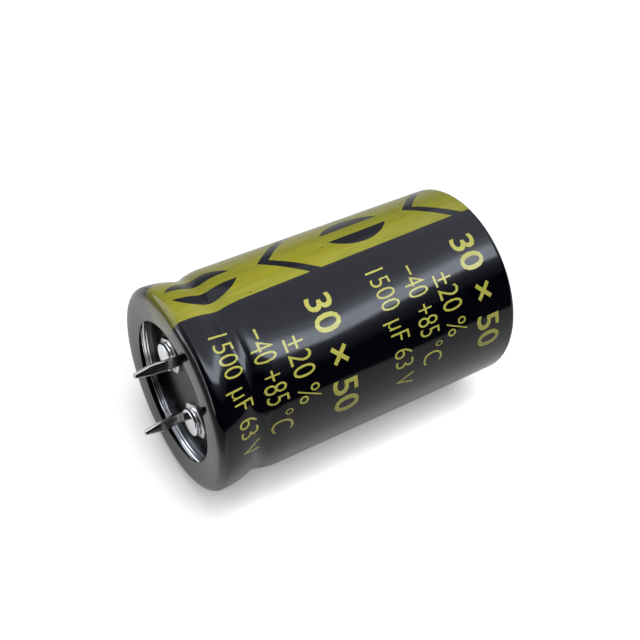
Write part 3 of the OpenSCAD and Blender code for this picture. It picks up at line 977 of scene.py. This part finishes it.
# %% Glow of the table
# The ramp gives the glow that the gloss sees, by the height along the can in metres.
glow = tree.nodes.new("ShaderNodeEmission")
spot = tree.nodes.new("ShaderNodeSeparateXYZ")
tree.links.new(geometry.outputs["Position"], spot.inputs[0])
beyond_rim = (0.45, 0.45, 0.47)
lit_end = wire_ramp(spot.outputs["Z"], 0, 0.1, [
    (0, grey(0.2)), (0.047, grey(0.2)), (0.053, beyond_rim), (0.063, beyond_rim), (0.080, grey(0))])
shown = wire_math("MULTIPLY", light_path.outputs["Is Camera Ray"], shade.outputs["Result"])
mirrored = wire_math("MULTIPLY", light_path.outputs["Is Glossy Ray"], lit_end)
tree.links.new(wire_math("ADD", shown, mirrored), glow.inputs["Strength"])
both = tree.nodes.new("ShaderNodeAddShader")
tree.links.new(diffuse.outputs[0], both.inputs[0])
tree.links.new(glow.outputs[0], both.inputs[1])
clear = tree.nodes.new("ShaderNodeBsdfTransparent")
side = tree.nodes.new("ShaderNodeMixShader")
tree.links.new(geometry.outputs["Backfacing"], side.inputs[0])
tree.links.new(both.outputs[0], side.inputs[1])
tree.links.new(clear.outputs[0], side.inputs[2])
tree.links.new(side.outputs[0], output.inputs["Surface"])
mesh.materials.append(paper)
print(f"{paper.name}: {len(tree.nodes)} nodes")

# %% [markdown]
# ## What the gloss reflects
# A glossy black cylinder shows its surroundings far more than its own colour. The room is drawn with
# two angles: one round the can's axis, counted from straight above the table, and one along the axis,
# from -1 at the closed end to 1 at the terminals. Round the axis come a black gap beside the table, a
# narrow lamp, and a pale ceiling. Towards the terminals' end they give way to a dark wall, with a tall
# window at one side and a thin strip of light, which the rolled rim and the bare metal mirror.
# Only the gloss sees this room. Matt surfaces get an even fill, and the camera sees plain white.

# %% The two angles of the room
world = bpy.data.worlds.new("studio")
bpy.context.scene.world = world
world.use_nodes = True
tree = world.node_tree
direction = tree.nodes.new("ShaderNodeTexCoord").outputs["Generated"]
SIDE = Vector((0, 0, 1)).cross(TABLE_UP)
end = wire_along(Vector((0, 0, 1)))
turn = wire_math("DEGREES", wire_math("ARCTAN2", wire_along(SIDE), wire_along(TABLE_UP)))
print("the angle round the axis starts at", [round(c, 3) for c in TABLE_UP])

# %% The lean of the room
# What the room shows round the axis leans with the place along it. The lean is least at one place
# towards the closed end, grows to both sides of it, and stops at a largest angle in degrees.
LEAN_TURNS_AT, LEAN_V, LEAN_SLANT, LEAN_MOST = -0.42, 61.0, -29.0, 16.0
bend = wire_math("ADD", end, -LEAN_TURNS_AT)
lean_v = wire_math("MULTIPLY", wire_math("ABSOLUTE", bend), LEAN_V)
lean_of_room = wire_math("ADD", lean_v, wire_math("MULTIPLY", bend, LEAN_SLANT))
turn = wire_math("SUBTRACT", turn, wire_math("MINIMUM", lean_of_room, LEAN_MOST))
print("the room leans by", LEAN_MOST, "degrees at most")

# %% Room
OFF, FULL, WALL = grey(0), grey(1), grey(0.05)
LAMP, WINDOW, STRIP, PAST_STRIP = grey(4.8), grey(2.2), (3.5, 3.5, 3.6), grey(0.4)
round_axis = wire_ramp(turn, -180, 180, [
    (-180, 0.3), (-112, 0.02), (-66, 0.0), (-55, 0.20), (-42, 0.62), (-20, 1.3), (-5, 1.05), (15, 0.92),
    (38, 0.95), (47, 0.85), (57, 0.36), (85, 0.28), (110, 0.40), (180, 0.45)])
along_axis = wire_ramp(end, -1, 1, [
    (-1, grey(0.4)), (-0.85, grey(0.5)), (-0.70, FULL), (0.16, FULL), (0.30, WALL), (1, WALL)])
lamp_round = wire_ramp(turn, -180, 180, [
    (-180, 0), (-44, 0), (-40, 1.0), (-31, 0.95), (-20, 0.12), (-12, 0), (180, 0)])
lamp_along = wire_ramp(end, -1, 1, [
    (-1, OFF), (-0.70, OFF), (-0.62, LAMP), (0.10, LAMP), (0.20, OFF), (1, OFF)])
window_round = wire_ramp(turn, -180, 180, [
    (-180, 0), (-40, 0), (0, 0.12), (20, 0.2), (30, 1), (88, 1), (100, 0), (180, 0)])
window_along = wire_ramp(end, -1, 1, [
    (-1, OFF), (0.14, OFF), (0.22, WINDOW), (0.84, WINDOW), (0.95, OFF), (1, OFF)])
strip = wire_ramp(end, -1, 1, [
    (-1, OFF), (0.83, OFF), (0.85, STRIP), (0.91, STRIP), (0.93, PAST_STRIP), (1, PAST_STRIP)])
room = wire_mix("ADD", 1.0, round_axis, wire_mix("MULTIPLY", 1.0, lamp_round, lamp_along))
room = wire_mix("ADD", 1.0, wire_mix("MULTIPLY", 1.0, room, along_axis), strip)
room = wire_mix("ADD", 1.0, room, wire_mix("MULTIPLY", 1.0, window_round, window_along))
print("room: lamp", LAMP[0], "window", WINDOW[0], "strip", STRIP[0])

# %% What each kind of ray sees
rays = tree.nodes.new("ShaderNodeLightPath")
fill = wire_ramp(end, -1, 1, [(-1, grey(0.24)), (0.0, grey(0.22)), (0.5, grey(0.10)), (1, grey(0.09))])
room = wire_mix("MIX", rays.outputs["Is Glossy Ray"], fill, room)
room = wire_mix("MIX", rays.outputs["Is Camera Ray"], room, (1, 1, 1, 1))
tree.links.new(room, tree.nodes["Background"].inputs["Color"])
print(f"{world.name}: {len(tree.nodes)} nodes")

# %% [markdown]
# ## Lamps
# A large soft box above lights everything evenly. A strip light hangs close over the can, nearer to the
# terminals, so the print is brightest there and fades towards the sides. Neither shows as a shape in
# the gloss, because the room already holds the reflections.

# %% Lamps
def soft_box(name, degrees, radius, z, width, length, radiance):
    """An area lamp beside the axis that faces it. Its radiance is in plain white units."""
    data = bpy.data.lights.new(name, "AREA")
    data.shape = "RECTANGLE"
    data.size = width
    data.size_y = length
    data.energy = radiance * math.pi * width * length
    lamp = bpy.data.objects.new(name, data)
    out = Matrix.Rotation(math.radians(degrees), 3, "Z") @ Vector((1, 0, 0))
    lamp.location = out * radius + Vector((0, 0, z))
    lamp.rotation_euler = (-out).to_track_quat("-Z", "Y").to_euler()
    lamp.visible_camera = False
    lamp.visible_glossy = False
    bpy.context.scene.collection.objects.link(lamp)
    print(f"{name}: {width} by {length} m at", [round(c, 3) for c in lamp.location])


soft_box("key", degrees=-30, radius=0.6, z=-0.20, width=0.5, length=0.5, radiance=1.3)
soft_box("strip_light", degrees=-30, radius=0.065, z=0.030, width=0.03, length=0.060, radiance=4.6)

# %% [markdown]
# ## Colours
# The Standard view shows a colour as it is written. The film's folds and the print may not make the
# object bigger than its CAD frame.

# %% Colour management
bpy.context.scene.view_settings.view_transform = "Standard"
